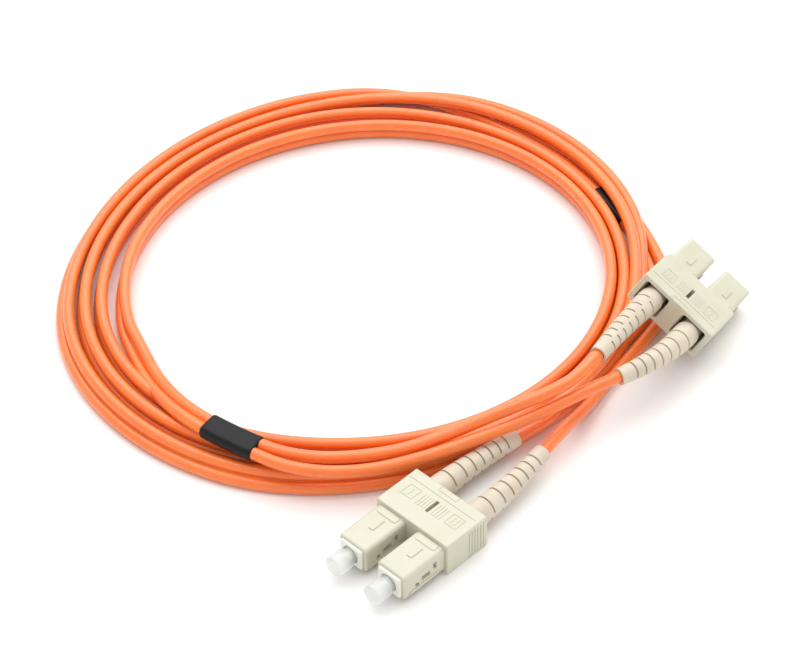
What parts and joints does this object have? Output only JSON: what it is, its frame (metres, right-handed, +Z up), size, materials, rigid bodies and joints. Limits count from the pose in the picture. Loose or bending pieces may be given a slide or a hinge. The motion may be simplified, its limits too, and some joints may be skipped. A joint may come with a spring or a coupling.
{
  "type": "fiber optic patch cord",
  "caption": "Duplex fiber optic patch cord with orange zip cord wound into a flat coil, a clipped pair of square push-pull plugs with slotted boots on each end, one pair capped.",
  "frame": {"origin": "centre of the underside of the near duplex clip, on the surface that the cord lies on", "axes": "+X the way the near pair of plugs goes into its socket, +Y across the pair from plug a to plug b, +Z up"},
  "size_m": [0.1714, 0.1686, 0.0221],
  "materials": {
    "cord_jacket": "soft matt PVC with a faint sheen",
    "grip_plastic": "moulded beige, satin",
    "frame_plastic": "moulded white, semi-gloss",
    "boot_elastomer": "moulded, matt",
    "cap_plastic": "milky translucent",
    "shrink_tube": "black shrunk sleeve, soft sheen",
    "ferrule_ceramic": "polished zirconia",
    "flange_metal": "turned, nickel flashed",
    "spring_steel": "drawn wire",
    "crimp_metal": "turned and crimped",
    "fibre_buffer": "tight buffer"
  },
  "bodies": {
    "cable": {"coil": "cord_jacket", "near_shrink_sleeve": "shrink_tube", "far_shrink_sleeve": "shrink_tube", "near_a_plug_frame": "frame_plastic", "near_a_crimp_body": "crimp_metal", "near_a_crimp_sleeve": "crimp_metal", "near_a_boot": "boot_elastomer", "near_a_leg": "cord_jacket", "near_a_ferrule_spring": "spring_steel", "near_b_plug_frame": "frame_plastic", "near_b_crimp_body": "crimp_metal", "near_b_crimp_sleeve": "crimp_metal", "near_b_boot": "boot_elastomer", "near_b_leg": "cord_jacket", "near_b_ferrule_spring": "spring_steel", "far_a_plug_frame": "frame_plastic", "far_a_crimp_body": "crimp_metal", "far_a_crimp_sleeve": "crimp_metal", "far_a_boot": "boot_elastomer", "far_a_leg": "cord_jacket", "far_a_ferrule_spring": "spring_steel", "far_b_plug_frame": "frame_plastic", "far_b_crimp_body": "crimp_metal", "far_b_crimp_sleeve": "crimp_metal", "far_b_boot": "boot_elastomer", "far_b_leg": "cord_jacket", "far_b_ferrule_spring": "spring_steel"},
    "near_grip": {"near_clip_top": "grip_plastic", "near_clip_base": "grip_plastic", "near_a_grip_housing": "grip_plastic", "near_b_grip_housing": "grip_plastic"},
    "far_grip": {"far_clip_top": "grip_plastic", "far_clip_base": "grip_plastic", "far_a_grip_housing": "grip_plastic", "far_b_grip_housing": "grip_plastic"},
    "near_a_ferrule_body": {"near_a_ferrule": "ferrule_ceramic", "near_a_ferrule_flange": "flange_metal", "near_a_fibre": "fibre_buffer"},
    "near_a_cap": {"near_a_dust_cap": "cap_plastic"},
    "near_b_ferrule_body": {"near_b_ferrule": "ferrule_ceramic", "near_b_ferrule_flange": "flange_metal", "near_b_fibre": "fibre_buffer"},
    "near_b_cap": {"near_b_dust_cap": "cap_plastic"},
    "far_a_ferrule_body": {"far_a_ferrule": "ferrule_ceramic", "far_a_ferrule_flange": "flange_metal", "far_a_fibre": "fibre_buffer"},
    "far_b_ferrule_body": {"far_b_ferrule": "ferrule_ceramic", "far_b_ferrule_flange": "flange_metal", "far_b_fibre": "fibre_buffer"}
  },
  "joints": [
    {"name": "near_grip_slide", "type": "slide", "parent": "cable", "child": "near_grip", "axis": [-1, 0, 0], "range_m": [0, 0.002]},
    {"name": "near_a_ferrule_slide", "type": "slide", "parent": "cable", "child": "near_a_ferrule_body", "axis": [-1, 0, 0], "range_m": [0, 0.001], "stiffness_N_per_m": 500, "springref_m": -0.002, "deforming": ["near_a_ferrule_spring"]},
    {"name": "near_a_cap_slide", "type": "slide", "parent": "near_a_ferrule_body", "child": "near_a_cap", "axis": [1, 0, 0], "range_m": [0, 0.014]},
    {"name": "near_b_ferrule_slide", "type": "slide", "parent": "cable", "child": "near_b_ferrule_body", "axis": [-1, 0, 0], "range_m": [0, 0.001], "stiffness_N_per_m": 500, "springref_m": -0.002, "deforming": ["near_b_ferrule_spring"]},
    {"name": "near_b_cap_slide", "type": "slide", "parent": "near_b_ferrule_body", "child": "near_b_cap", "axis": [1, 0, 0], "range_m": [0, 0.014]},
    {"name": "far_grip_slide", "type": "slide", "parent": "cable", "child": "far_grip", "axis": [0.9633, 0.2048, 0.1736], "range_m": [0, 0.002]},
    {"name": "far_a_ferrule_slide", "type": "slide", "parent": "cable", "child": "far_a_ferrule_body", "axis": [0.9633, 0.2048, 0.1736], "range_m": [0, 0.001], "stiffness_N_per_m": 500, "springref_m": -0.002, "deforming": ["far_a_ferrule_spring"]},
    {"name": "far_b_ferrule_slide", "type": "slide", "parent": "cable", "child": "far_b_ferrule_body", "axis": [0.9633, 0.2048, 0.1736], "range_m": [0, 0.001], "stiffness_N_per_m": 500, "springref_m": -0.002, "deforming": ["far_b_ferrule_spring"]}
  ]
}
